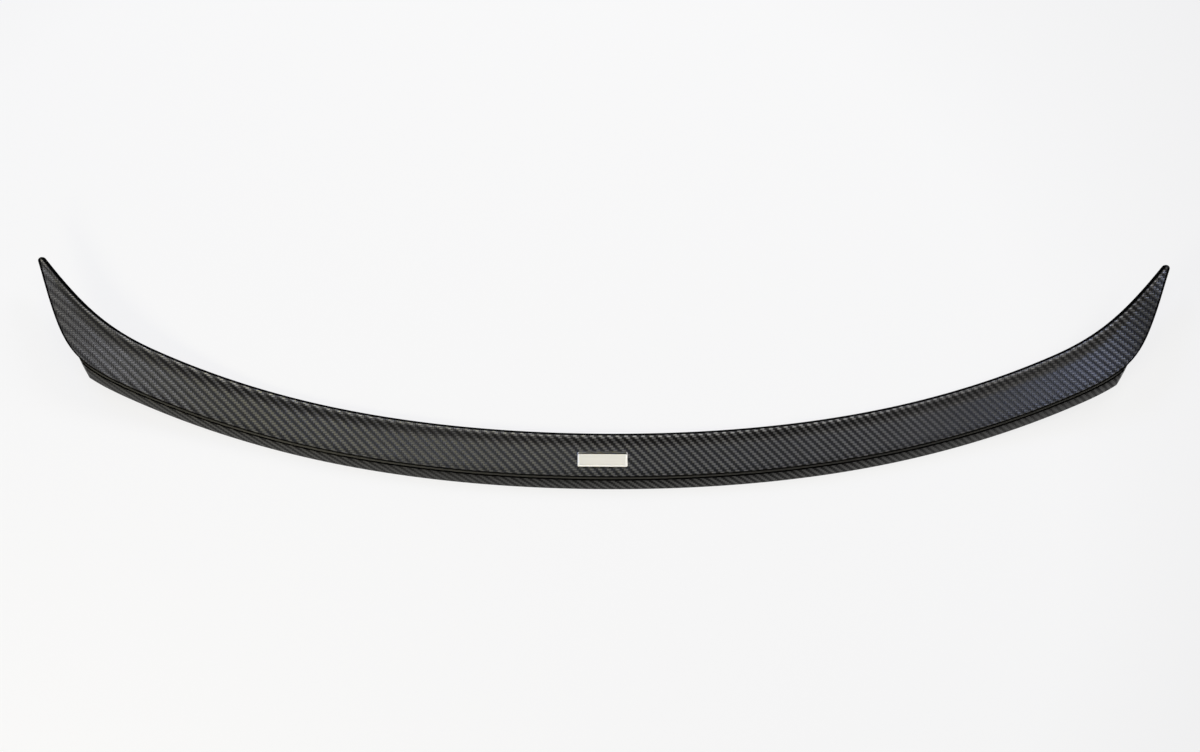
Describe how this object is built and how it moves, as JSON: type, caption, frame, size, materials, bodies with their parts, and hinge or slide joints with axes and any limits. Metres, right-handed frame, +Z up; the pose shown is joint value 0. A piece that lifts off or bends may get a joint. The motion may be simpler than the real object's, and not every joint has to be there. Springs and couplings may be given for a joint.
{
  "type": "car rear spoiler",
  "caption": "Low lip spoiler for a car boot lid: a swept woven-carbon shell with a concave face, raised rear ridge, narrow skirt and upswept pointed tips, on foam tape.",
  "frame": {"origin": "middle of the rear foam tape's underside, on the car's centre line, on the lid's surface", "axes": "+X to the right across the car, +Y toward the front of the car, +Z up off the lid"},
  "size_m": [1.03, 0.2101, 0.0473],
  "materials": {
    "carbon_twill": "matte clear over 2 by 2 twill carbon cloth",
    "badge_metal": "satin",
    "adhesive": "matte foam",
    "foam_tape": "matte acrylic foam"
  },
  "bodies": {
    "root": {"spoiler_shell": "carbon_twill", "badge_plate": "badge_metal", "badge_pad": "adhesive", "front_tape_middle": "foam_tape", "front_tape_left": "foam_tape", "front_tape_right": "foam_tape", "rear_tape_middle": "foam_tape", "rear_tape_left": "foam_tape", "rear_tape_right": "foam_tape"}
  },
  "joints": []
}
